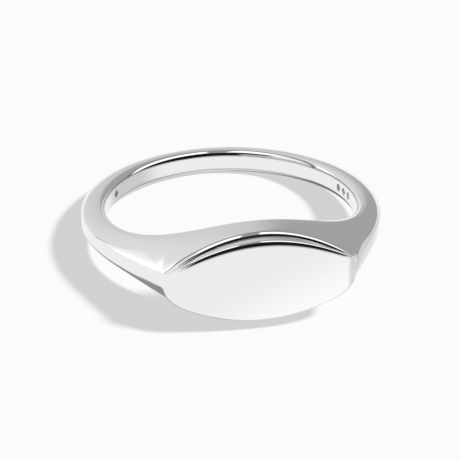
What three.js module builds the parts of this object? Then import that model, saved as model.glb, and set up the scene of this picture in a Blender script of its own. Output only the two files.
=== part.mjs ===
// Signet ring with an east-west marquise face, in sterling silver.
// Millimetres, +Z up. The ring lies on its side as it rests on a table: the deep head and the
// narrow back of the shank both touch Z = 0, so the finger axis leans a little towards the face.
// X = 0 is the mirror plane, and the face looks along -Y.
import * as THREE from "three";

// Finger hole and shank.
const BORE_RADIUS = 8.65;
const SHANK_RADIUS = 10.32;
const SHANK_HALF_WIDTH = 0.9;
const SHANK_EDGE = 0.78; // height of the outer corner above the ring's middle plane
const SHANK_INNER_ROUND = 0.5;

// Head and shoulders: each swells from the shank as a bell curve round the ring.
const HEAD_HALF_WIDTH = 3.36;
const HEAD_BELL = 44.2; // degrees
const SHOULDER_SWELL = 4.6;
const SHOULDER_BELL = 30.8; // degrees
const HEAD_INNER_ROUND = 0.12;
const HEAD_CROWN_SHARE = 0.6; // where the upper side falls away, from the bore to the outer corner
const SHOULDER_CROWN_SHARE = 0.43;
const CROWN_BELL = 20; // degrees
const CROWN_SLOPE = 0.12;

// The marquise face stands proud of the head's lip and runs out to a tip on each side.
const FACE_DISTANCE = 10.88; // from the finger axis
const TIP_ANGLE = 31.6; // degrees from the middle of the face
const FACE_HALF_HEIGHT = 2.76;
const FACE_TIP_HALF_HEIGHT = 0.8;
const FACE_ROUND_SHARE = 0.72; // of the ledge's width
const LEDGE_ROUND_SHARE = 0.42;
const FACE_BLEND = 30; // sharpness of the turn from face to shoulder
const LIP_DISTANCE = 10.28;
const LIP_TIP_DISTANCE = 10.32;
const LIP_HALF_HEIGHT = 3.04;
const LIP_TIP_HALF_HEIGHT = 0.5;
const LIP_ROUND = 0.35; // above the lip
const LIP_END_SHARE = 0.95; // of the step, taken by the rounding below the lip
const STEP_DEPTH = 0.25; // drop from the lip to the ledge
const TIP_STEP_DEPTH = 0.18;
const STEP_FADE = 1.5; // degrees each side of the tip over which the step runs out

// Outer corner of the shoulders and shank, past the tips.
const SHOULDER_EDGE = 0.8;
const EDGE_SETBACK = 0.16;
const EDGE_ROUND = 1.0;
const ROUND_START = 18; // degrees, where the rounding starts to grow from the lip's to the edge's
const ROUND_FULL = 50; // degrees
const LIP_REACH = 50; // degrees, past which the lip leaves no trace
const LIP_BLEND = 30; // sharpness of the turn from lip to edge, as seen along the finger
const LIP_HEIGHT_BLEND = 2;

// Solder joints.
const SEAT_SETBACK = 0.07; // of the seat that carries the plate, past the lip
const PLATE_SOLDER = 0.08;
const SOLDER_SHARE = 0.4; // most of the ledge that the solder takes, at the narrow tips
const SHANK_JOINT_ANGLE = 62; // degrees
const SHANK_SOLDER_ANGLE = 0.6; // degrees, about 0.1 mm at the band's middle

// Facet counts.
const STEP_ANGLE = 5; // degrees between sections round the ring
const INNER_STEPS = 4;
const CROWN_STEPS = 3;
const LIP_STEPS = 3;
const FACE_ROUND_STEPS = 4;
const FACE_STEPS = 3;
const SEAT_STEPS = 4;
const LEAN_ROUNDS = 12; // repeats that settle the resting lean

const rad = THREE.MathUtils.degToRad;
const bell = (angle, width) => Math.exp(-((angle / width) ** 2));
const mix = (a, b, share) => a + (b - a) * share;
const along = (a, b, share) => [mix(a[0], b[0], share), mix(a[1], b[1], share)];
const apart = (a, b) => Math.hypot(b[0] - a[0], b[1] - a[1]);
const towards = (a, b, distance) => along(a, b, distance / apart(a, b));

// Points after `from` on the conic that leaves it towards `corner` and ends at `to`.
// Where both legs are equal the conic is a circular arc.
function roundOff(from, corner, to, steps) {
  const legs = apart(from, corner) * apart(corner, to);
  const dot =
    (corner[0] - from[0]) * (to[0] - corner[0]) +
    (corner[1] - from[1]) * (to[1] - corner[1]);
  const weight = Math.sqrt(Math.max(0, (1 + dot / legs) / 2));
  return Array.from({ length: steps }, (_, i) => {
    const t = (i + 1) / steps;
    const a = (1 - t) ** 2;
    const b = 2 * t * (1 - t) * weight;
    const c = t * t;
    return [0, 1].map((k) => (a * from[k] + b * corner[k] + c * to[k]) / (a + b + c));
  });
}

// Outermost radius in the middle plane: a flat face that turns softly into round shoulders.
function outerRadius(angle) {
  const shoulder = SHANK_RADIUS + SHOULDER_SWELL * bell(angle, SHOULDER_BELL);
  const flat = Math.cos(rad(angle)) / FACE_DISTANCE;
  if (flat <= 0) return shoulder;
  return (flat ** FACE_BLEND + shoulder ** -FACE_BLEND) ** (-1 / FACE_BLEND);
}

// Half-height of a marquise outline that has `middle` at the centre and `tip` at its ends.
function marquise(angle, middle, tip) {
  const share = Math.tan(rad(angle)) / Math.tan(rad(TIP_ANGLE));
  return middle - (middle - tip) * share * share;
}

// Outer corner of the side: the lip beside the face, and the edge of the band past the tips.
function outerCorner(angle) {
  const edge = [
    outerRadius(angle) - EDGE_SETBACK,
    mix(SHANK_EDGE, SHOULDER_EDGE, bell(angle, HEAD_BELL)),
  ];
  if (angle > LIP_REACH) return edge;
  const lip = [
    marquise(angle, LIP_DISTANCE, LIP_TIP_DISTANCE) / Math.cos(rad(angle)),
    Math.max(0, marquise(angle, LIP_HALF_HEIGHT, LIP_TIP_HALF_HEIGHT)),
  ];
  return [
    (lip[0] ** -LIP_BLEND + edge[0] ** -LIP_BLEND) ** (-1 / LIP_BLEND),
    (lip[1] ** LIP_HEIGHT_BLEND + edge[1] ** LIP_HEIGHT_BLEND) ** (1 / LIP_HEIGHT_BLEND),
  ];
}

// Upper half of the ring's bore and side, as far as where the outer corner's rounding starts.
function side(angle) {
  const halfWidth = mix(SHANK_HALF_WIDTH, HEAD_HALF_WIDTH, bell(angle, HEAD_BELL));
  const turn = mix(SHANK_INNER_ROUND, HEAD_INNER_ROUND, bell(angle, HEAD_BELL));
  const corner = outerCorner(angle);
  const edge = [BORE_RADIUS, halfWidth];
  const share = mix(SHOULDER_CROWN_SHARE, HEAD_CROWN_SHARE, bell(angle, CROWN_BELL));
  const reach = share * (corner[0] - BORE_RADIUS);
  const crown = [BORE_RADIUS + reach, halfWidth - CROWN_SLOPE * bell(angle, HEAD_BELL) * reach];
  const start = [BORE_RADIUS, halfWidth - turn];
  const finish = towards(edge, crown, Math.min(turn, 0.9 * reach));
  const growth = THREE.MathUtils.smootherstep(angle, ROUND_START, ROUND_FULL);
  const cornerRound = mix(LIP_ROUND, EDGE_ROUND, growth);
  const end = towards(corner, crown, Math.min(cornerRound, 0.9 * apart(corner, crown)));
  return [
    [BORE_RADIUS, 0],
    start,
    ...roundOff(start, edge, finish, INNER_STEPS),
    ...roundOff(finish, crown, end, CROWN_STEPS),
  ];
}

// From the end of the side over the lip, the step, the ledge and the face.
function headFace(angle, start) {
  const spread = 1 / Math.cos(rad(angle));
  const outer = outerRadius(angle);
  const lip = outerCorner(angle);
  const seat = [lip[0] + SEAT_SETBACK, lip[1] - marquise(angle, STEP_DEPTH, TIP_STEP_DEPTH)];
  const faceEdge = [outer, marquise(angle, FACE_HALF_HEIGHT, FACE_TIP_HALF_HEIGHT)];
  const bulge = [outer, faceEdge[1] / 2];
  const ledge = apart(seat, faceEdge);
  const back = towards(seat, faceEdge, Math.min(PLATE_SOLDER * spread, SOLDER_SHARE * ledge));
  const ledgeEnd = towards(faceEdge, seat, LEDGE_ROUND_SHARE * ledge);
  const faceRound = Math.min(FACE_ROUND_SHARE * ledge, 0.9 * apart(faceEdge, bulge));
  const faceStart = towards(faceEdge, bulge, faceRound);
  const lipEnd = towards(lip, seat, LIP_END_SHARE * apart(lip, seat));
  return [
    ...roundOff(start, lip, lipEnd, LIP_STEPS),
    seat,
    back,
    ledgeEnd,
    ...roundOff(ledgeEnd, faceEdge, faceStart, FACE_ROUND_STEPS),
    ...roundOff(faceStart, bulge, [outer, 0], FACE_STEPS),
  ];
}

// From the end of the side round the edge of a shoulder or the shank, in as many points.
function bandFace(angle, start) {
  const outer = outerRadius(angle);
  const corner = outerCorner(angle);
  const bulge = [outer, corner[1] / 2];
  const growth = THREE.MathUtils.smootherstep(angle, TIP_ANGLE, ROUND_FULL);
  const fullDrop = Math.min(EDGE_ROUND, 0.9 * apart(corner, bulge));
  const end = towards(corner, bulge, mix(TIP_STEP_DEPTH, fullDrop, growth));
  return [
    ...roundOff(start, corner, end, LIP_STEPS),
    ...roundOff(end, bulge, [outer, 0], 3 + FACE_ROUND_STEPS + FACE_STEPS),
  ];
}

const SEAT = 2 + INNER_STEPS + CROWN_STEPS + LIP_STEPS; // index of the seat's corner in a half-section
const BACK = SEAT + 1; // index of the plate's back corner

// Upper half-section at an angle round the ring from the middle of the face. Both sides match.
function halfSection(turn) {
  const angle = Math.abs(THREE.MathUtils.euclideanModulo(turn + 180, 360) - 180);
  const inner = side(angle);
  const share = THREE.MathUtils.smootherstep(angle, TIP_ANGLE - STEP_FADE, TIP_ANGLE + STEP_FADE);
  if (share <= 0) return [...inner, ...headFace(angle, inner.at(-1))];
  const band = bandFace(angle, inner.at(-1));
  if (share >= 1) return [...inner, ...band];
  const head = headFace(angle, inner.at(-1));
  return [...inner, ...head.map((point, i) => along(point, band[i], share))];
}

const mirrored = ([r, z]) => [r, -z];

// Straight cut across a section from `top` down to its mirror image.
function straightCut(top) {
  return Array.from({ length: SEAT_STEPS - 1 }, (_, i) =>
    along(top, mirrored(top), (i + 1) / SEAT_STEPS),
  );
}

// Closed loops, each running outwards over the top and back underneath.
function fullLoop(angle) {
  const half = halfSection(angle);
  return [...half, ...half.slice(1, -1).reverse().map(mirrored)];
}
function headLoop(angle) {
  const half = halfSection(angle).slice(0, SEAT + 1);
  return [...half, ...straightCut(half[SEAT]), ...half.slice(1).reverse().map(mirrored)];
}
function outerLoop(angle, first) {
  const half = halfSection(angle).slice(first);
  return [
    ...half,
    ...half.slice(0, -1).reverse().map(mirrored),
    ...straightCut(mirrored(half[0])),
  ];
}
function solderLoop(angle) {
  const half = halfSection(angle);
  return [
    half[SEAT],
    half[BACK],
    ...straightCut(half[BACK]),
    mirrored(half[BACK]),
    mirrored(half[SEAT]),
    ...straightCut(mirrored(half[SEAT])),
  ];
}

// Section point to the ring's own frame, with the finger axis along z and the face at -y.
function place([r, z], angle) {
  return new THREE.Vector3(r * Math.sin(rad(angle)), -r * Math.cos(rad(angle)), z);
}

// Lean that lets the head and the back of the shank touch the table together, with the origin
// under the middle of the leaning ring.
function restingPose() {
  const points = (angle) => fullLoop(angle).map((point) => place(point, angle));
  const lowest = (angle, up) => points(angle).sort((a, b) => a.dot(up) - b.dot(up))[0];
  const turn = new THREE.Matrix4();
  const up = new THREE.Vector3();
  let front;
  for (let i = 0; i < LEAN_ROUNDS; i++) {
    up.set(0, 0, 1).applyMatrix4(turn.clone().transpose());
    front = lowest(0, up);
    const rear = lowest(180, up);
    turn.makeRotationX(-Math.atan2(rear.z - front.z, rear.y - front.y));
  }
  const span = new THREE.Box3().setFromPoints(
    [...points(0), ...points(180)].map((point) => point.applyMatrix4(turn)),
  );
  return turn.setPosition(0, -(span.min.y + span.max.y) / 2, -front.applyMatrix4(turn).z);
}

// Angles from `from` to `to`, both included, about STEP_ANGLE apart. An even number of steps
// puts one section in the middle.
function sweep(from, to) {
  const steps = 2 * Math.round((to - from) / (2 * STEP_ANGLE)) || 1;
  return Array.from({ length: steps + 1 }, (_, i) => mix(from, to, i / steps));
}

class Skin {
  constructor(pose) {
    this.pose = pose;
    this.corners = [];
  }

  triangle(a, b, c) {
    this.corners.push(a, b, c);
  }

  // Side walls between the loops that `loopAt` gives at each angle.
  walls(angles, loopAt) {
    const rings = angles.map((angle) => loopAt(angle).map((point) => place(point, angle)));
    for (let i = 0; i + 1 < rings.length; i++) {
      const [near, far] = [rings[i], rings[i + 1]];
      for (let j = 0; j < near.length; j++) {
        const k = (j + 1) % near.length;
        this.triangle(near[j], near[k], far[k]);
        this.triangle(near[j], far[k], far[j]);
      }
    }
  }

  // Flat face over one loop, looking towards smaller angles, or larger ones when `ahead`.
  cap(angle, loop, ahead) {
    const outline = loop.map(([r, z]) => new THREE.Vector2(r, z));
    const order = THREE.ShapeUtils.isClockWise(outline) ? [0, 1, 2] : [0, 2, 1];
    if (ahead) order.reverse();
    for (const face of THREE.ShapeUtils.triangulateShape(outline, [])) {
      const [a, b, c] = order.map((i) => place(loop[face[i]], angle));
      this.triangle(a, b, c);
    }
  }

  mesh(name, colour, roughness) {
    const geometry = new THREE.BufferGeometry().setFromPoints(this.corners);
    geometry.applyMatrix4(this.pose);
    geometry.computeVertexNormals();
    const material = new THREE.MeshStandardMaterial({ color: colour, roughness, metalness: 1 });
    const made = new THREE.Mesh(geometry, material);
    made.name = name;
    return made;
  }
}

const SILVER = 0xf2f2f0;
const SOLDER = 0xe6e6e0;
const pose = restingPose();
const jointEnd = SHANK_JOINT_ANGLE + SHANK_SOLDER_ANGLE;

function stretch(name, from, to, loopAt, colour, roughness) {
  const skin = new Skin(pose);
  skin.walls(sweep(from, to), loopAt);
  skin.cap(from, loopAt(from), false);
  skin.cap(to, loopAt(to), true);
  return skin.mesh(name, colour, roughness);
}

// The head carries both shoulders. Its middle stretch stops at the seat, so the plate's ends
// bear on a small flat at each tip.
function signetHead() {
  const skin = new Skin(pose);
  skin.walls(sweep(-SHANK_JOINT_ANGLE, -TIP_ANGLE), fullLoop);
  skin.walls(sweep(-TIP_ANGLE, TIP_ANGLE), headLoop);
  skin.walls(sweep(TIP_ANGLE, SHANK_JOINT_ANGLE), fullLoop);
  skin.cap(-SHANK_JOINT_ANGLE, fullLoop(-SHANK_JOINT_ANGLE), false);
  skin.cap(-TIP_ANGLE, outerLoop(-TIP_ANGLE, SEAT), true);
  skin.cap(TIP_ANGLE, outerLoop(TIP_ANGLE, SEAT), false);
  skin.cap(SHANK_JOINT_ANGLE, fullLoop(SHANK_JOINT_ANGLE), true);
  return skin.mesh("signet_head", SILVER, 0.08);
}

const ring = new THREE.Group();
ring.add(
  signetHead(),
  stretch("signet_plate", -TIP_ANGLE, TIP_ANGLE, (angle) => outerLoop(angle, BACK), SILVER, 0.05),
  stretch("plate_solder", -TIP_ANGLE, TIP_ANGLE, solderLoop, SOLDER, 0.15),
  stretch("right_shank_solder", SHANK_JOINT_ANGLE, jointEnd, fullLoop, SOLDER, 0.15),
  stretch("shank", jointEnd, 360 - jointEnd, fullLoop, SILVER, 0.08),
  stretch("left_shank_solder", 360 - jointEnd, 360 - SHANK_JOINT_ANGLE, fullLoop, SOLDER, 0.15),
);

export default ring;
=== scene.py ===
"""Silver signet ring with an east-west marquise face, lying on a pale table.

Every piece is rebuilt as a finely stepped solid from the same driving dimensions as the CAD
model, and stands in for one CAD node, which is hidden. Lengths below are in millimetres and
angles in degrees until they reach Blender, which works in metres and radians.
"""
from math import atan2, cos, exp, hypot, radians, sin, sqrt, tan

import bpy
import numpy as np
from mathutils import Matrix, Vector, geometry


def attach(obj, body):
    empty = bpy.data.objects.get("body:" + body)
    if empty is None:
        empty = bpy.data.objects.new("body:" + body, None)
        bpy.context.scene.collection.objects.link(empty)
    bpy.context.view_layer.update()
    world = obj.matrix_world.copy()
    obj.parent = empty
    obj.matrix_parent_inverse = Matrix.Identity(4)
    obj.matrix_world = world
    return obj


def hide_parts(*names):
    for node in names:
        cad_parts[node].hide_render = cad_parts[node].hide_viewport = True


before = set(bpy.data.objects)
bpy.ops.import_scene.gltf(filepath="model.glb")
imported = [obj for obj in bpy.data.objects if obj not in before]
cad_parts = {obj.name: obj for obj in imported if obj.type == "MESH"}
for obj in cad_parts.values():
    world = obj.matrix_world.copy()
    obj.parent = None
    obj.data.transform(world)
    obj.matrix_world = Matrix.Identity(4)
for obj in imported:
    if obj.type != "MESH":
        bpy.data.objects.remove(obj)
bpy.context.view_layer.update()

MM = 0.001

# Finger hole and shank.
BORE_RADIUS = 8.65
SHANK_RADIUS = 10.32
SHANK_HALF_WIDTH = 0.9
SHANK_EDGE = 0.78  # height of the outer corner above the ring's middle plane
SHANK_INNER_ROUND = 0.5

# Head and shoulders: each swells from the shank as a bell curve round the ring.
HEAD_HALF_WIDTH = 3.36
HEAD_BELL = 44.2
SHOULDER_SWELL = 4.6
SHOULDER_BELL = 30.8
HEAD_INNER_ROUND = 0.12
HEAD_CROWN_SHARE = 0.6  # where the upper side falls away, from the bore to the outer corner
SHOULDER_CROWN_SHARE = 0.43
CROWN_BELL = 20
CROWN_SLOPE = 0.12

# The marquise face stands proud of the head's lip and runs out to a tip on each side.
FACE_DISTANCE = 10.88  # from the finger axis
TIP_ANGLE = 31.6
FACE_HALF_HEIGHT = 2.76
FACE_TIP_HALF_HEIGHT = 0.8
FACE_ROUND_SHARE = 0.72  # of the ledge's width
LEDGE_ROUND_SHARE = 0.42
FACE_BLEND = 30  # sharpness of the turn from face to shoulder
LIP_DISTANCE = 10.28
LIP_TIP_DISTANCE = 10.32
LIP_HALF_HEIGHT = 3.04
LIP_TIP_HALF_HEIGHT = 0.5
LIP_ROUND = 0.35  # above the lip
LIP_END_SHARE = 0.95  # of the step
STEP_DEPTH = 0.25  # drop from the lip to the ledge
TIP_STEP_DEPTH = 0.18
STEP_FADE = 1.5  # each side of the tip, over which the step runs out

# Outer corner of the shoulders and shank, past the tips.
SHOULDER_EDGE = 0.8
EDGE_SETBACK = 0.16
EDGE_ROUND = 1.0
ROUND_START = 18  # between these angles the rounding grows from the lip's to the edge's
ROUND_FULL = 50
LIP_REACH = 50  # no trace of the lip past this angle
LIP_BLEND = 30  # sharpness of the turn from lip to edge, as seen along the finger
LIP_HEIGHT_BLEND = 2

# Solder joints.
SEAT_SETBACK = 0.07  # of the seat that carries the plate, past the lip
PLATE_SOLDER = 0.08
SOLDER_SHARE = 0.4  # most of the ledge that the solder takes, at the narrow tips
SHANK_JOINT_ANGLE = 62
SHANK_SOLDER_ANGLE = 0.6

LEG_SHARE = 0.9  # most of a straight that the rounding at one of its ends may take

# Blank punch marks inside the shank, in place of hallmarks.
PUNCHES = (
    # angle round the ring, half length, half height, power of the outline (2 an oval, 1 a lozenge)
    (95.8, 0.27, 0.3, 2),
    (101.0, 0.32, 0.34, 1),
    (106.2, 0.27, 0.3, 2),
    (239.0, 0.42, 0.36, 1),
)
PUNCH_DEPTH = 0.04
PUNCH_EDGE = 0.35  # share of a mark's radius over which it reaches full depth
PUNCH_SLACK = 1.001  # so that the floor of a mark counts as inside it

# Fineness of the meshes.
TURN_STEP = 0.5  # degrees between sections round the ring
TIP_STEP_PARTS = 4  # the step at a tip is cut this many times as finely
PUNCH_STEP = 0.125
SAME_TURN = 1e-6  # sections nearer together than this are one
BORE_STEPS = 16
INNER_STEPS = 12
CROWN_STEPS = 20
LIP_STEPS = 10
LEDGE_STEPS = 6
FACE_ROUND_STEPS = 16
FACE_STEPS = 14
SEAT_STEPS = 8
LEAN_TRIES = 12  # the resting pose settles well within these


def bell(angle, width):
    """1 in the middle of the face, falling away round the ring."""
    return exp(-((angle / width) ** 2))


def mix(a, b, share):
    return a + (b - a) * share


def along(a, b, share):
    return (mix(a[0], b[0], share), mix(a[1], b[1], share))


def apart(a, b):
    return hypot(b[0] - a[0], b[1] - a[1])


def towards(a, b, distance):
    return along(a, b, distance / apart(a, b))


def smoother(x, low, high):
    """0 up to low and 1 from high, with a smooth rise between them."""
    t = min(1.0, max(0.0, (x - low) / (high - low)))
    return t * t * t * (t * (6 * t - 15) + 10)


def straight(start, end, steps):
    """Points after start on the line to end."""
    return [along(start, end, (i + 1) / steps) for i in range(steps)]


def round_off(start, corner, end, steps):
    """Points after start on the conic that leaves it towards corner and arrives at end."""
    legs = apart(start, corner) * apart(corner, end)
    dot = sum((corner[k] - start[k]) * (end[k] - corner[k]) for k in (0, 1))
    weight = sqrt(max(0.0, (1 + dot / legs) / 2))
    points = []
    for i in range(steps):
        t = (i + 1) / steps
        a, b, c = (1 - t) ** 2, 2 * t * (1 - t) * weight, t * t
        total = a + b + c
        points.append(tuple((a * start[k] + b * corner[k] + c * end[k]) / total for k in (0, 1)))
    return points


def outer_radius(angle):
    """Outermost radius in the middle plane: a flat face that turns softly into the shoulders."""
    shoulder = SHANK_RADIUS + SHOULDER_SWELL * bell(angle, SHOULDER_BELL)
    flat = cos(radians(angle)) / FACE_DISTANCE
    if flat <= 0:
        return shoulder
    return (flat**FACE_BLEND + shoulder**-FACE_BLEND) ** (-1 / FACE_BLEND)


def marquise(angle, middle, tip):
    """A value that goes from middle to tip along the marquise's curve."""
    share = tan(radians(angle)) / tan(radians(TIP_ANGLE))
    return middle - (middle - tip) * share * share


def outer_corner(angle):
    """Outer corner of the side: the lip beside the face, and the edge of the band past the tips."""
    edge = (
        outer_radius(angle) - EDGE_SETBACK,
        mix(SHANK_EDGE, SHOULDER_EDGE, bell(angle, HEAD_BELL)),
    )
    if angle > LIP_REACH:
        return edge
    lip = (
        marquise(angle, LIP_DISTANCE, LIP_TIP_DISTANCE) / cos(radians(angle)),
        max(0.0, marquise(angle, LIP_HALF_HEIGHT, LIP_TIP_HALF_HEIGHT)),
    )
    return (
        (lip[0] ** -LIP_BLEND + edge[0] ** -LIP_BLEND) ** (-1 / LIP_BLEND),
        (lip[1] ** LIP_HEIGHT_BLEND + edge[1] ** LIP_HEIGHT_BLEND) ** (1 / LIP_HEIGHT_BLEND),
    )


def side(angle):
    """Upper half of the bore and side, as far as the end of the outer corner's rounding."""
    half_width = mix(SHANK_HALF_WIDTH, HEAD_HALF_WIDTH, bell(angle, HEAD_BELL))
    turn = mix(SHANK_INNER_ROUND, HEAD_INNER_ROUND, bell(angle, HEAD_BELL))
    corner = outer_corner(angle)
    edge = (BORE_RADIUS, half_width)
    share = mix(SHOULDER_CROWN_SHARE, HEAD_CROWN_SHARE, bell(angle, CROWN_BELL))
    reach = share * (corner[0] - BORE_RADIUS)
    crown = (BORE_RADIUS + reach, half_width - CROWN_SLOPE * bell(angle, HEAD_BELL) * reach)
    start = (BORE_RADIUS, half_width - turn)
    finish = towards(edge, crown, min(turn, LEG_SHARE * reach))
    corner_round = mix(LIP_ROUND, EDGE_ROUND, smoother(angle, ROUND_START, ROUND_FULL))
    end = towards(corner, crown, min(corner_round, LEG_SHARE * apart(corner, crown)))
    return [
        (BORE_RADIUS, 0.0),
        *straight((BORE_RADIUS, 0.0), start, BORE_STEPS),
        *round_off(start, edge, finish, INNER_STEPS),
        *round_off(finish, crown, end, CROWN_STEPS),
    ]


def head_face(angle, start):
    """From the end of the side over the lip, the step, the ledge and the face."""
    spread = 1 / cos(radians(angle))
    outer = outer_radius(angle)
    lip = outer_corner(angle)
    seat = (lip[0] + SEAT_SETBACK, lip[1] - marquise(angle, STEP_DEPTH, TIP_STEP_DEPTH))
    face_edge = (outer, marquise(angle, FACE_HALF_HEIGHT, FACE_TIP_HALF_HEIGHT))
    bulge = (outer, face_edge[1] / 2)
    ledge = apart(seat, face_edge)
    back = towards(seat, face_edge, min(PLATE_SOLDER * spread, SOLDER_SHARE * ledge))
    ledge_end = towards(face_edge, seat, LEDGE_ROUND_SHARE * ledge)
    face_round = min(FACE_ROUND_SHARE * ledge, LEG_SHARE * apart(face_edge, bulge))
    face_start = towards(face_edge, bulge, face_round)
    lip_end = towards(lip, seat, LIP_END_SHARE * apart(lip, seat))
    return [
        *round_off(start, lip, lip_end, LIP_STEPS),
        seat,
        back,
        *straight(back, ledge_end, LEDGE_STEPS),
        *round_off(ledge_end, face_edge, face_start, FACE_ROUND_STEPS),
        *round_off(face_start, bulge, (outer, 0.0), FACE_STEPS),
    ]


def band_face(angle, start):
    """From the end of the side round the edge of a shoulder or the shank, in as many points."""
    outer = outer_radius(angle)
    corner = outer_corner(angle)
    bulge = (outer, corner[1] / 2)
    growth = smoother(angle, TIP_ANGLE, ROUND_FULL)
    edge_drop = mix(TIP_STEP_DEPTH, min(EDGE_ROUND, LEG_SHARE * apart(corner, bulge)), growth)
    end = towards(corner, bulge, edge_drop)
    rest = 2 + LEDGE_STEPS + FACE_ROUND_STEPS + FACE_STEPS
    return [
        *round_off(start, corner, end, LIP_STEPS),
        *round_off(end, bulge, (outer, 0.0), rest),
    ]


SEAT = 1 + BORE_STEPS + INNER_STEPS + CROWN_STEPS + LIP_STEPS  # index in a half-section
BACK = SEAT + 1


def half_section(turn):
    """Upper half-section at an angle round the ring from the middle of the face."""
    angle = abs((turn + 180) % 360 - 180)
    inner = side(angle)
    share = smoother(angle, TIP_ANGLE - STEP_FADE, TIP_ANGLE + STEP_FADE)
    if share <= 0:
        return inner + head_face(angle, inner[-1])
    band = band_face(angle, inner[-1])
    if share >= 1:
        return inner + band
    return inner + [along(a, b, share) for a, b in zip(head_face(angle, inner[-1]), band)]


def mirrored(points):
    return [(r, -z) for r, z in reversed(points)]


def straight_cut(top):
    """Points strictly between top and its mirror image below the middle plane."""
    return straight(top, (top[0], -top[1]), SEAT_STEPS)[:-1]


def punched(angle, z):
    """How far the punch marks press into the bore."""
    depth = 0.0
    for middle, half_length, half_height, power in PUNCHES:
        along_bore = radians(angle - middle) * BORE_RADIUS / half_length
        away = (abs(along_bore) ** power + abs(z / half_height) ** power) ** (1 / power)
        depth += PUNCH_DEPTH * (1 - smoother(away, 1 - PUNCH_EDGE, 1))
    return depth


def tarnish_and_shade_share(depth):
    """Tarnish, and painted shade, at a point this far outside the bore's radius, as in a punch mark
    of that depth.

    The rounding at the bore's two edges starts at the same distance, so it darkens as well: there
    the darkening is painted shade, not tarnish.
    """
    if 0 < depth <= PUNCH_DEPTH * PUNCH_SLACK:
        return depth / PUNCH_DEPTH
    return 0.0


def full_loop(angle):
    """The whole section, with the punch marks pressed into the bore."""
    half = half_section(angle)
    loop = half + mirrored(half[1:-1])
    return [(r + punched(angle, z) if r == BORE_RADIUS else r, z) for r, z in loop]


def head_loop(angle):
    """The head without the plate and its solder, closed by the seat."""
    half = half_section(angle)[: SEAT + 1]
    return half + straight_cut(half[SEAT]) + mirrored(half[1:])


def outer_loop(angle, first):
    """What lies outside a straight cut at the half-section's point of this index."""
    half = half_section(angle)[first:]
    return half + mirrored(half[:-1]) + list(reversed(straight_cut(half[0])))


def plate_loop(angle):
    return outer_loop(angle, BACK)


def solder_loop(angle):
    """The layer between the seat and the back of the plate."""
    half = half_section(angle)
    seat, back = half[SEAT], half[BACK]
    return [
        seat,
        back,
        *straight_cut(back),
        (back[0], -back[1]),
        (seat[0], -seat[1]),
        *reversed(straight_cut(seat)),
    ]


def place(point, angle):
    """A point of a section, in the ring's own frame, whose Z is the finger's axis."""
    r, z = point
    return Vector((r * sin(radians(angle)), -r * cos(radians(angle)), z))


def resting_pose():
    """The lean at which the head and the back of the shank touch the table together."""
    lean = 0.0
    for _ in range(LEAN_TRIES):
        up = Vector((0, -sin(lean), cos(lean)))
        front = min((place(p, 0) for p in full_loop(0)), key=up.dot)
        rear = min((place(p, 180) for p in full_loop(180)), key=up.dot)
        lean = atan2(rear.z - front.z, rear.y - front.y)
    turn = Matrix.Rotation(-lean, 4, "X")
    ends = [turn @ place(p, a) for a in (0, 180) for p in full_loop(a)]
    shift = -(min(p.y for p in ends) + max(p.y for p in ends)) / 2
    return Matrix.Translation((0, shift, -(turn @ front).z)) @ turn


POSE = resting_pose()


def turns(start, end):
    """Angles from start to end, finer where the step runs out at a tip and over the marks."""
    stops = {start, end}
    count = round((end - start) / TURN_STEP)
    for i in range(count + 1):
        stops.add(mix(start, end, i / count))
    extra = []
    fine = round(4 * STEP_FADE / TURN_STEP) * TIP_STEP_PARTS
    for tip in (-TIP_ANGLE, TIP_ANGLE):
        extra += [tip + STEP_FADE * 2 * (2 * i / fine - 1) for i in range(fine + 1)]
    for middle, half_length, _, _ in PUNCHES:
        reach = round(half_length / radians(PUNCH_STEP) / BORE_RADIUS) + 1
        extra += [middle + i * PUNCH_STEP for i in range(-reach, reach + 1)]
    stops.update(angle for angle in extra if start < angle < end)
    ordered = sorted(stops)
    return [a for i, a in enumerate(ordered) if i == 0 or a - ordered[i - 1] > SAME_TURN]


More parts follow.
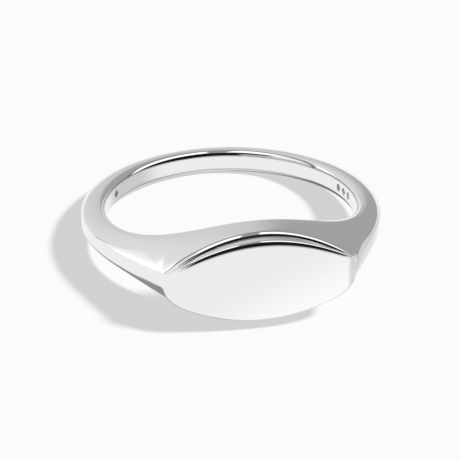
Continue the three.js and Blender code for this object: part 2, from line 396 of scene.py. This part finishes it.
class Skin:
    """A closed surface made of lofted walls and flat caps, with its own smooth normals."""

    def __init__(self):
        self.points = []
        self.faces = []
        self.normals = []

    def walls(self, angles, loop_at):
        """Walls between loops.

        Normals come from neighbouring loops, those past the ends included, so that two pieces
        that meet share one normal along the joint.
        """
        reach = TURN_STEP / 2
        framed = [angles[0] - reach, *angles, angles[-1] + reach]
        grid = np.array([[place(p, a) for p in loop_at(a)] for a in framed])
        across = np.roll(grid, -1, axis=1) - np.roll(grid, 1, axis=1)
        around = grid[2:] - grid[:-2]
        normal = np.cross(across[1:-1], around)
        normal /= np.linalg.norm(normal, axis=2, keepdims=True)
        grid = grid[1:-1]
        base = len(self.points)
        rows, columns = grid.shape[:2]
        self.points.extend(grid.reshape(-1, 3))
        for i in range(rows - 1):
            for j in range(columns):
                k = (j + 1) % columns
                corners = ((i, j), (i, k), (i + 1, k), (i + 1, j))
                self.faces.append([base + r * columns + c for r, c in corners])
                self.normals.append([normal[r, c] for r, c in corners])

    def cap(self, angle, loop, ahead):
        """A flat face over one loop, looking towards smaller angles, or larger ones if ahead."""
        base = len(self.points)
        corner = [np.array(place(p, angle)) for p in loop]
        self.points.extend(corner)
        facing = np.array((cos(radians(angle)), sin(radians(angle)), 0.0)) * (1 if ahead else -1)
        flat = [Vector((r, z, 0)) for r, z in loop]
        for a, b, c in geometry.tessellate_polygon([flat]):
            spread = np.cross(corner[b] - corner[a], corner[c] - corner[a])
            order = (a, b, c) if np.dot(spread, facing) > 0 else (c, b, a)
            self.faces.append([base + k for k in order])
            self.normals.append([facing] * 3)

    def build(self, name, material):
        """The finished object, in its resting pose and in metres."""
        mesh = bpy.data.meshes.new(name)
        matrix = np.array(POSE)
        points = (np.array(self.points) @ matrix[:3, :3].T + matrix[:3, 3]) * MM
        mesh.from_pydata(points.tolist(), [], self.faces)
        normals = np.array([n for face in self.normals for n in face]) @ matrix[:3, :3].T
        mesh.shade_smooth()
        mesh.normals_split_custom_set(normals.tolist())
        mesh.materials.append(material)
        # Tarnish in the punch marks, and painted shade along the bore's two edges
        depth = [hypot(x, y) - BORE_RADIUS for x, y, _ in self.points]
        marked = [tarnish_and_shade_share(d) for d in depth]
        mesh.attributes.new("tarnish_and_shade", "FLOAT", "POINT").data.foreach_set("value", marked)
        piece = bpy.data.objects.new(name, mesh)
        bpy.context.scene.collection.objects.link(piece)
        return piece


def signet_head(material):
    """The head and both shoulders, with a seat cut out for the plate and its solder."""
    skin = Skin()
    skin.walls(turns(-SHANK_JOINT_ANGLE, -TIP_ANGLE), full_loop)
    skin.walls(turns(-TIP_ANGLE, TIP_ANGLE), head_loop)
    skin.walls(turns(TIP_ANGLE, SHANK_JOINT_ANGLE), full_loop)
    for way in (-1, 1):
        skin.cap(way * SHANK_JOINT_ANGLE, full_loop(SHANK_JOINT_ANGLE), way > 0)
        skin.cap(way * TIP_ANGLE, outer_loop(TIP_ANGLE, SEAT), way < 0)
    return skin.build("polished_head", material)


def stretch(name, start, end, loop_at, material):
    """A piece with one kind of section from end to end."""
    skin = Skin()
    skin.walls(turns(start, end), loop_at)
    skin.cap(start, loop_at(start), False)
    skin.cap(end, loop_at(end), True)
    return skin.build(name, material)


class Wiring:
    """Adds nodes to one shader and links them. A value is a number or another node's output."""

    def __init__(self, tree):
        self.tree = tree

    def feed(self, socket, value):
        if isinstance(value, (int, float)):
            socket.default_value = value
        else:
            self.tree.links.new(value, socket)

    def math(self, operation, *values):
        node = self.tree.nodes.new("ShaderNodeMath")
        node.operation = operation
        for socket, value in zip(node.inputs, values):
            self.feed(socket, value)
        return node.outputs["Value"]

    def ramp(self, value, low, high, to_low=0.0, to_high=1.0):
        """Smoothly from to_low, where value is low, to to_high, where it is high."""
        node = self.tree.nodes.new("ShaderNodeMapRange")
        node.interpolation_type = "SMOOTHSTEP"
        self.feed(node.inputs["Value"], value)
        self.feed(node.inputs["From Min"], low)
        self.feed(node.inputs["From Max"], high)
        self.feed(node.inputs["To Min"], to_low)
        self.feed(node.inputs["To Max"], to_high)
        return node.outputs["Result"]

    def window(self, value, low, high, soft):
        """1 where value is between low and high, with soft edges that wide."""
        rise = self.ramp(value, low - soft / 2, low + soft / 2)
        fall = self.ramp(value, high - soft / 2, high + soft / 2, 1.0, 0.0)
        return self.math("MULTIPLY", rise, fall)

    def degrees(self, value):
        return self.math("DEGREES", value)

    def paint(self, light, brightness, mask):
        """The light, with this brightness painted over it where the mask is 1."""
        node = self.tree.nodes.new("ShaderNodeMix")
        self.feed(node.inputs["Factor"], mask)
        self.feed(node.inputs["A"], light)
        self.feed(node.inputs["B"], brightness)
        return node.outputs["Result"]


# Silver.
RING_SILVER = (0.87, 0.873, 0.88)
RING_ROUGHNESS = 0.03
SOLDER_SILVER = (0.865, 0.867, 0.87)
SOLDER_ROUGHNESS = 0.035
HAZE_SCALE = 350
HAZE_DETAIL = 3
HAZE_TINT = 0.985  # of the colour, where the noise is lowest
HAZE_REACH = (0.3, 0.7)  # of the noise, over which the roughness changes
HAZE_ROUGHNESS = (0.8, 1.2)  # of the roughness, at each end
# Painted highlight on the face: the silver lightens towards white from its upper left to its lower
# right.
FACE_HIGHLIGHT = (1, 1, 1, 1)
HIGHLIGHT_SLOPE = 2.2  # how much faster the face brightens downwards than to the right
HIGHLIGHT_REACH = (-0.0094, 0.0012)  # metres along that slope
TARNISH_AND_SHADE = (0.25, 0.25, 0.26, 1)  # tarnish in the punch marks, and painted shade along the bore's two edges


def silver(name, colour, roughness):
    """Polished silver: a mirror with a faint haze, darker with the tarnish in the punch marks and
    with the painted shade along the bore's edges.
    """
    material = bpy.data.materials.new(name)
    material.use_nodes = True
    nodes, links = material.node_tree.nodes, material.node_tree.links
    shader = nodes["Principled BSDF"]
    shader.inputs["Metallic"].default_value = 1.0
    place_at = nodes.new("ShaderNodeTexCoord")
    haze = nodes.new("ShaderNodeTexNoise")
    haze.inputs["Scale"].default_value = HAZE_SCALE
    haze.inputs["Detail"].default_value = HAZE_DETAIL
    # tarnish in the punch marks, and painted shade along the bore's edges
    marks = nodes.new("ShaderNodeAttribute")
    marks.attribute_name = "tarnish_and_shade"
    darker = nodes.new("ShaderNodeMix")
    darker.data_type = "RGBA"
    darker.inputs["B"].default_value = TARNISH_AND_SHADE
    tint = nodes.new("ShaderNodeMix")
    tint.data_type = "RGBA"
    tint.inputs["A"].default_value = (*[c * HAZE_TINT for c in colour], 1)
    tint.inputs["B"].default_value = (*colour, 1)
    gloss = nodes.new("ShaderNodeMapRange")
    gloss.inputs["From Min"].default_value = HAZE_REACH[0]
    gloss.inputs["From Max"].default_value = HAZE_REACH[1]
    gloss.inputs["To Min"].default_value = roughness * HAZE_ROUGHNESS[0]
    gloss.inputs["To Max"].default_value = roughness * HAZE_ROUGHNESS[1]
    links.new(place_at.outputs["Object"], haze.inputs["Vector"])
    links.new(haze.outputs["Fac"], tint.inputs["Factor"])
    links.new(haze.outputs["Fac"], gloss.inputs["Value"])
    links.new(marks.outputs["Fac"], darker.inputs["Factor"])
    links.new(tint.outputs["Result"], darker.inputs["A"])
    links.new(darker.outputs["Result"], shader.inputs["Base Color"])
    links.new(gloss.outputs["Result"], shader.inputs["Roughness"])
    return material


def paint_face_highlight(material):
    """A painted highlight: lighten the silver's colour across the face, from its upper left to its
    lower right.
    """
    tree = material.node_tree
    shader = tree.nodes["Principled BSDF"]
    wiring = Wiring(tree)
    spot = tree.nodes.new("ShaderNodeTexCoord").outputs["Object"]
    split = tree.nodes.new("ShaderNodeSeparateXYZ")
    tree.links.new(spot, split.inputs["Vector"])
    slope = wiring.math("MULTIPLY", split.outputs["Z"], -HIGHLIGHT_SLOPE)
    share = wiring.ramp(wiring.math("ADD", split.outputs["X"], slope), *HIGHLIGHT_REACH)
    painted_highlight = tree.nodes.new("ShaderNodeMix")
    painted_highlight.data_type = "RGBA"
    painted_highlight.inputs["B"].default_value = FACE_HIGHLIGHT
    tree.links.new(share, painted_highlight.inputs["Factor"])
    tree.links.new(shader.inputs["Base Color"].links[0].from_socket, painted_highlight.inputs["A"])
    tree.links.new(painted_highlight.outputs["Result"], shader.inputs["Base Color"])
    return material


body_silver = silver("body_silver", RING_SILVER, RING_ROUGHNESS)
# the face's silver carries a painted highlight
face_silver = paint_face_highlight(silver("face_silver", RING_SILVER, RING_ROUGHNESS))
solder_silver = silver("solder_silver", SOLDER_SILVER, SOLDER_ROUGHNESS)

# Where each solder joint of the shank starts and ends, round the ring from the face.
right_start, right_end = SHANK_JOINT_ANGLE, SHANK_JOINT_ANGLE + SHANK_SOLDER_ANGLE
left_start, left_end = 360 - right_end, 360 - right_start

head = signet_head(body_silver)
plate = stretch("polished_plate", -TIP_ANGLE, TIP_ANGLE, plate_loop, face_silver)
seam = stretch("plate_solder_line", -TIP_ANGLE, TIP_ANGLE, solder_loop, solder_silver)
right_joint = stretch("right_solder_line", right_start, right_end, full_loop, solder_silver)
shank = stretch("polished_shank", right_end, left_start, full_loop, body_silver)
left_joint = stretch("left_solder_line", left_start, left_end, full_loop, solder_silver)

for node, piece, finish in (
    ("signet_head", head, "silver"),
    ("signet_plate", plate, "silver_face"),
    ("plate_solder", seam, "solder"),
    ("right_shank_solder", right_joint, "solder"),
    ("shank", shank, "silver"),
    ("left_shank_solder", left_joint, "solder"),
):
    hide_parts(node)
    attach(piece, "root")
    piece.visible_diffuse = False  # the ring throws no reflected light on the table


TABLE_SIZE = 0.6  # metres
TABLE_GREY = 0.9
TABLE_ROUGHNESS = 0.9
TABLE_FILL = 0.64  # a glow of the table's own, standing in for soft light from all round


def table():
    """A plain pale table."""
    bpy.ops.mesh.primitive_plane_add(size=TABLE_SIZE, location=(0, 0, 0))
    top = bpy.context.object
    top.name = "table"
    material = bpy.data.materials.new("table_white")
    material.use_nodes = True
    shader = material.node_tree.nodes["Principled BSDF"]
    shader.inputs["Base Color"].default_value = (TABLE_GREY, TABLE_GREY, TABLE_GREY, 1)
    shader.inputs["Roughness"].default_value = TABLE_ROUGHNESS
    shader.inputs["Specular IOR Level"].default_value = 0.0
    shader.inputs["Emission Color"].default_value = (1, 1, 1, 1)
    shader.inputs["Emission Strength"].default_value = TABLE_FILL
    top.data.materials.append(material)
    top.visible_glossy = False  # the ring mirrors the studio's floor below instead


# Camera, in the ring's own frame: turned about the finger axis and raised above its plane.
VIEW_TURN = 10.93
VIEW_RISE = 25.6
VIEW_DISTANCE = 105.4
VIEW_ROLL = -0.05
VIEW_OFFSET = (-0.056, -1.312)  # of the line of sight from the ring's centre, right and up
FRAME_WIDTH = 31.878032  # millimetres seen across the frame at the ring's centre
SENSOR = 36.0
NEAREST = 0.001  # metres from the camera


def camera():
    data = bpy.data.cameras.new("camera")
    data.sensor_width = SENSOR
    data.lens = SENSOR * VIEW_DISTANCE / FRAME_WIDTH
    data.clip_start = NEAREST
    eye = bpy.data.objects.new("camera", data)
    rise = radians(VIEW_RISE)
    right = Vector((1, 0, 0))
    up = Vector((0, sin(rise), cos(rise)))
    back = Vector((0, -cos(rise), sin(rise)))
    spot = right * VIEW_OFFSET[0] + up * VIEW_OFFSET[1] + back * VIEW_DISTANCE
    aim = Matrix((right, up, back)).transposed().to_4x4()
    roll = Matrix.Rotation(radians(VIEW_ROLL), 4, "Z")
    round_axis = Matrix.Rotation(radians(-VIEW_TURN), 4, "Z")
    view = round_axis @ Matrix.Translation(spot) @ (aim @ roll)
    world = POSE @ view
    world.translation *= MM
    eye.matrix_world = world
    bpy.context.scene.collection.objects.link(eye)
    bpy.context.scene.camera = eye


# Studio, in world directions and degrees: azimuth 0 lies behind the ring and grows to the right,
# pitch is measured over the ring from behind (0) through straight up (90) to the camera's side
# (180), and sideways is the part of a direction to the right, from -1 to 1.
BACKDROP_LEFT = (-45, 0.80)  # azimuth, brightness
BACKDROP_RIGHT = (32, 0.60)
PANELS = (
    # azimuth of the middle, half width, lowest and highest elevation, softness, brightness
    (54, 34, -10, 66, 22, 0.4),
    (-94, 38, 26, 75, 26, 0.96),
    (-94, 41, -10, 27, 2, 0.96),
    (-52, 0.9, -10, 20, 1, 0.5),
    (-92, 40, 60, 82, 8, 0.6),
    (-66, 5, 12, 38, 10, 1.3),
    (92, 15, 34, 62, 6, 1.3),
    (151, 50, 12, 66, 8, 0.01),
    (106, 26, 12, 32, 6, 0.01),
    (-148, 28, 38, 66, 8, 0.02),
)
FLOOR_LIGHT = 0.97
FLOOR_SHADE = (46, 112, 36)  # azimuths between which the floor is darker, and their softness
FLOOR_SHADE_LIGHT = 0.68
# A patch of painted shade in the floor that the silver mirrors, like the ring's own shadow.
FLOOR_DARK = (-85, 25, 20)  # azimuths of a dark patch, and their softness
FLOOR_DARK_BELOW = -36  # elevation
FLOOR_DARK_SOFT = 3  # each side of that elevation
FLOOR_DARK_LIGHT = 0.3
HORIZON_SOFT = 0.8  # each side of the floor's edge
GAP_PITCH = (64, 80)  # dark gap between the backdrop and the overhead light
GAP_LIGHT = 0.3
OVERHEAD_PITCH = (80, 112)
OVERHEAD_LIGHT = 1.3
OVERHEAD_SPLIT = (-0.04, 0.17)  # sideways, between the two overhead lights
SPLIT_LIGHT = 0.34
OVERHEAD_LEFT = -0.48  # sideways, where the left overhead light ends
PITCH_SOFT = 5
SIDEWAYS_SOFT = 0.05
KEY_AZIMUTH = 113  # of the lamp that casts the ring's shadow
KEY_ELEVATION = 48
KEY_ANGLE = 8  # across the lamp, as seen from the ring
KEY_LIGHT = 1.53


def studio():
    """What the silver mirrors: a backdrop, panels, a split light overhead and a floor.

    The table isn't lit by any of it, only by its own fill and by the key light.
    """
    world = bpy.data.worlds.new("studio")
    bpy.context.scene.world = world
    world.use_nodes = True
    world.cycles_visibility.diffuse = False
    tree = world.node_tree
    sky = Wiring(tree)
    direction = tree.nodes.new("ShaderNodeTexCoord").outputs["Generated"]
    split = tree.nodes.new("ShaderNodeSeparateXYZ")
    tree.links.new(direction, split.inputs["Vector"])
    x, y, z = (split.outputs[axis] for axis in "XYZ")
    azimuth = sky.degrees(sky.math("ARCTAN2", x, y))
    elevation = sky.degrees(sky.math("ARCSINE", z))
    pitch = sky.degrees(sky.math("ARCTAN2", z, y))

    left_azimuth, left_light = BACKDROP_LEFT
    right_azimuth, right_light = BACKDROP_RIGHT
    light = sky.ramp(azimuth, left_azimuth, right_azimuth, left_light, right_light)

    for middle, half_width, low, high, soft, brightness in PANELS:
        turn = sky.math("RADIANS", sky.math("SUBTRACT", azimuth, middle))
        away = sky.degrees(sky.math("ARCCOSINE", sky.math("COSINE", turn)))
        across = sky.ramp(away, half_width - soft / 2, half_width + soft / 2, 1.0, 0.0)
        mask = sky.math("MULTIPLY", across, sky.window(elevation, low, high, soft))
        light = sky.paint(light, brightness, mask)

    light = sky.paint(light, GAP_LIGHT, sky.window(pitch, *GAP_PITCH, PITCH_SOFT))
    split_mask = sky.window(x, *OVERHEAD_SPLIT, SIDEWAYS_SOFT)
    overhead = sky.paint(OVERHEAD_LIGHT, SPLIT_LIGHT, split_mask)
    reach = sky.ramp(x, OVERHEAD_LEFT - SIDEWAYS_SOFT, OVERHEAD_LEFT + SIDEWAYS_SOFT)
    overhead_mask = sky.math("MULTIPLY", reach, sky.window(pitch, *OVERHEAD_PITCH, PITCH_SOFT))
    light = sky.paint(light, overhead, overhead_mask)

    floor = sky.paint(FLOOR_LIGHT, FLOOR_SHADE_LIGHT, sky.window(azimuth, *FLOOR_SHADE))
    dark_top = FLOOR_DARK_BELOW + FLOOR_DARK_SOFT
    below = sky.ramp(elevation, FLOOR_DARK_BELOW - FLOOR_DARK_SOFT, dark_top, 1.0, 0.0)
    shadow = sky.math("MULTIPLY", below, sky.window(azimuth, *FLOOR_DARK))
    floor = sky.paint(floor, FLOOR_DARK_LIGHT, shadow)
    light = sky.paint(light, floor, sky.ramp(elevation, -HORIZON_SOFT, HORIZON_SOFT, 1.0, 0.0))
    tree.links.new(light, tree.nodes["Background"].inputs["Color"])

    lamp = bpy.data.lights.new("key", "SUN")
    lamp.energy = KEY_LIGHT
    lamp.angle = radians(KEY_ANGLE)
    key = bpy.data.objects.new("key", lamp)
    key.visible_glossy = False  # the silver mirrors the painted lights only
    turn, rise = radians(KEY_AZIMUTH), radians(KEY_ELEVATION)
    spot = Vector((sin(turn) * cos(rise), cos(turn) * cos(rise), sin(rise)))
    key.rotation_euler = spot.to_track_quat("Z", "Y").to_euler()
    bpy.context.scene.collection.objects.link(key)


table()
camera()
studio()
bpy.context.scene.view_settings.view_transform = "Standard"
